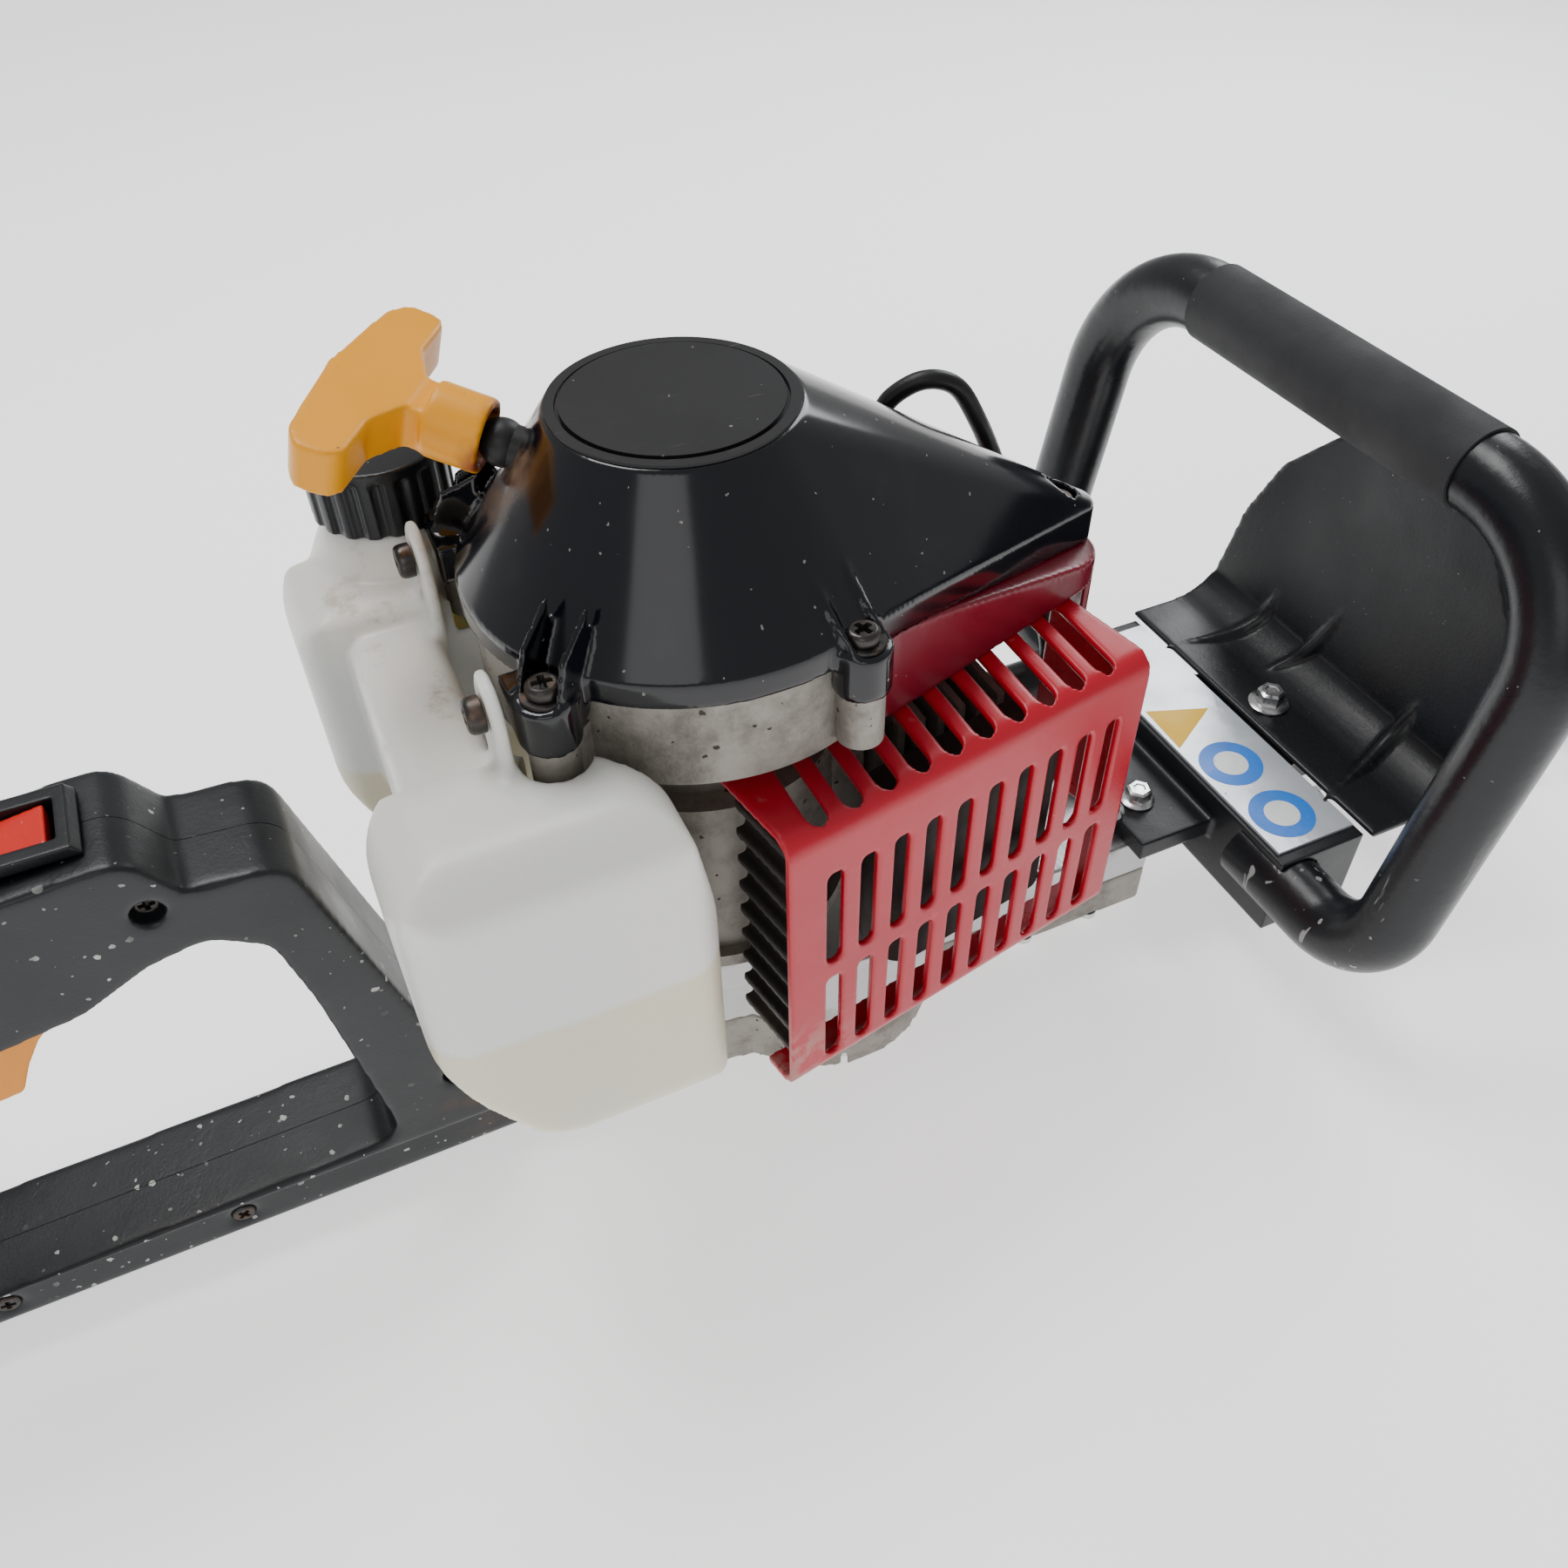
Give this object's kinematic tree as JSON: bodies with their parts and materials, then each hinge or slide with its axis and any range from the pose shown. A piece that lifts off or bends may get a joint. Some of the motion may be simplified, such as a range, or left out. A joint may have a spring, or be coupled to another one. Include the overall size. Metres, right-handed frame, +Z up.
{
  "type": "hedge trimmer",
  "caption": "Petrol hedge trimmer with a double-sided reciprocating blade, a rear grip with a throttle trigger, a loop front handle and a recoil starter.",
  "frame": {"origin": "on the floor, under the centre of the overall box", "axes": "+X forward along the blade, +Y to the machine's left as its user holds it, +Z up"},
  "size_m": [1.102, 0.2496, 0.2635],
  "materials": {
    "black_plastic": "satin",
    "gloss_black_plastic": "gloss",
    "dark_screws": "satin",
    "red_switch": "gloss",
    "amber_plastic": "gloss",
    "yellow_plastic": "gloss",
    "tank_plastic": "satin",
    "black_rubber": "matte",
    "clear_tube": "gloss",
    "rope_fibre": "matte",
    "steel": "satin",
    "blade_steel": "satin",
    "cast_metal": "matte",
    "ceramic": "gloss",
    "red_plastic": "satin",
    "dark_metal": "matte",
    "primer_rubber": "satin",
    "lever_plastic": "satin",
    "black_tube": "satin",
    "grip_foam": "matte",
    "label_film": "gloss"
  },
  "bodies": {
    "machine": {"rear_handle_right_shell": "black_plastic", "rear_handle_left_shell": "black_plastic", "handle_screws": "dark_screws", "switch_bezel": "black_plastic", "trigger_pivot_pin": "steel", "throttle_cable": "black_rubber", "fuel_tank": "tank_plastic", "tank_screws": "dark_screws", "fuel_line": "clear_tube", "starter_housing": "gloss_black_plastic", "starter_badge": "gloss_black_plastic", "starter_screws": "dark_screws", "rope_grommet": "black_rubber", "recoil_spring": "steel", "fan_housing": "cast_metal", "ignition_coil": "black_plastic", "ignition_lead": "black_rubber", "spark_plug_boot": "black_rubber", "spark_plug": "ceramic", "crankcase": "cast_metal", "shaft_bearings": "steel", "connecting_rod": "cast_metal", "piston": "cast_metal", "finned_cylinder": "cast_metal", "engine_cowl": "red_plastic", "muffler": "dark_metal", "muffler_guard": "red_plastic", "heat_shield": "dark_metal", "carburettor": "cast_metal", "air_filter_housing": "black_plastic", "gear_spindle": "steel", "gear_case_upper": "cast_metal", "gear_case_lower": "cast_metal", "gear_case_screws": "steel", "blade_support_bar": "steel", "blade_bolts": "steel", "tip_guard": "black_plastic", "front_handle_tube": "black_tube", "front_handle_grip": "grip_foam", "front_handle_bracket": "black_plastic", "bracket_bolts": "steel", "hand_guard": "black_plastic", "label_plate": "label_film"},
    "trigger": {"throttle_trigger": "amber_plastic"},
    "lockout": {"throttle_lockout": "black_plastic"},
    "rocker": {"stop_switch_rocker": "red_switch"},
    "cap": {"tank_cap": "black_plastic"},
    "pull_handle": {"starter_t_handle": "yellow_plastic", "starter_rope": "rope_fibre"},
    "pulley": {"starter_pulley": "black_plastic"},
    "crank": {"crankshaft": "steel", "flywheel": "cast_metal", "clutch_shoes": "steel"},
    "drum": {"clutch_drum": "steel", "drive_pinion": "steel"},
    "gear": {"crank_gear": "steel"},
    "upper_cutter": {"upper_blade": "blade_steel"},
    "lower_cutter": {"lower_blade": "blade_steel"},
    "choke": {"choke_lever": "lever_plastic"},
    "primer": {"primer_bulb": "primer_rubber"}
  },
  "joints": [
    {"name": "trigger_squeeze", "type": "hinge", "parent": "machine", "child": "trigger", "pos_m": [-0.42, 0, 0.143], "axis": [0, 1, 0], "range_deg": [0, 18], "stiffness_Nm_per_rad": 0.25, "springref_deg": -17.19},
    {"name": "lockout_press", "type": "hinge", "parent": "machine", "child": "lockout", "pos_m": [-0.453, 0, 0.158], "axis": [0, 1, 0], "range_deg": [-9, 0], "stiffness_Nm_per_rad": 0.2, "springref_deg": 17.19},
    {"name": "stop_switch", "type": "hinge", "parent": "machine", "child": "rocker", "pos_m": [-0.4265, 0, 0.174], "axis": [0, 1, 0], "range_deg": [-14, 0]},
    {"name": "tank_cap_turn", "type": "hinge", "parent": "machine", "child": "cap", "pos_m": [-0.307, 0.07, 0.204], "axis": [0, 0, 1], "range_deg": [0, 270]},
    {"name": "starter_pull", "type": "slide", "parent": "machine", "child": "pull_handle", "axis": [-0.7834, 0.5485, 0.2924], "range_m": [0, 0.5], "stiffness_N_per_m": 12, "springref_m": -0.1},
    {"name": "starter_reel", "type": "hinge", "parent": "machine", "child": "pulley", "pos_m": [-0.239, 0, 0.226], "axis": [0, 0, 1], "range_deg": [0, 1400]},
    {"name": "crank_spin", "type": "hinge", "parent": "machine", "child": "crank", "pos_m": [-0.239, 0, 0.12], "axis": [0, 0, 1], "continuous": true},
    {"name": "drum_spin", "type": "hinge", "parent": "machine", "child": "drum", "pos_m": [-0.239, 0, 0.05], "axis": [0, 0, 1], "continuous": true},
    {"name": "gear_spin", "type": "hinge", "parent": "machine", "child": "gear", "pos_m": [-0.199, 0, 0.038], "axis": [0, 0, 1], "continuous": true},
    {"name": "upper_blade_stroke", "type": "slide", "parent": "machine", "child": "upper_cutter", "axis": [1, 0, 0], "range_m": [-0.008, 0.008]},
    {"name": "lower_blade_stroke", "type": "slide", "parent": "machine", "child": "lower_cutter", "axis": [1, 0, 0], "range_m": [-0.008, 0.008]},
    {"name": "choke_turn", "type": "hinge", "parent": "machine", "child": "choke", "pos_m": [-0.257, 0.09, 0.12], "axis": [1, 0, 0], "range_deg": [0, 80]},
    {"name": "primer_press", "type": "slide", "parent": "machine", "child": "primer", "axis": [0, 0, 1], "range_m": [0, 0.003], "stiffness_N_per_m": 300, "springref_m": -0.002}
  ],
  "couplings": [
    {"joint": "starter_reel", "follows": "starter_pull", "rad_per_m": 48.78},
    {"joint": "drum_spin", "follows": "crank_spin", "ratio": 1},
    {"joint": "gear_spin", "follows": "crank_spin", "ratio": -0.25},
    {"joint": "lower_blade_stroke", "follows": "upper_blade_stroke", "ratio": -1}
  ]
}
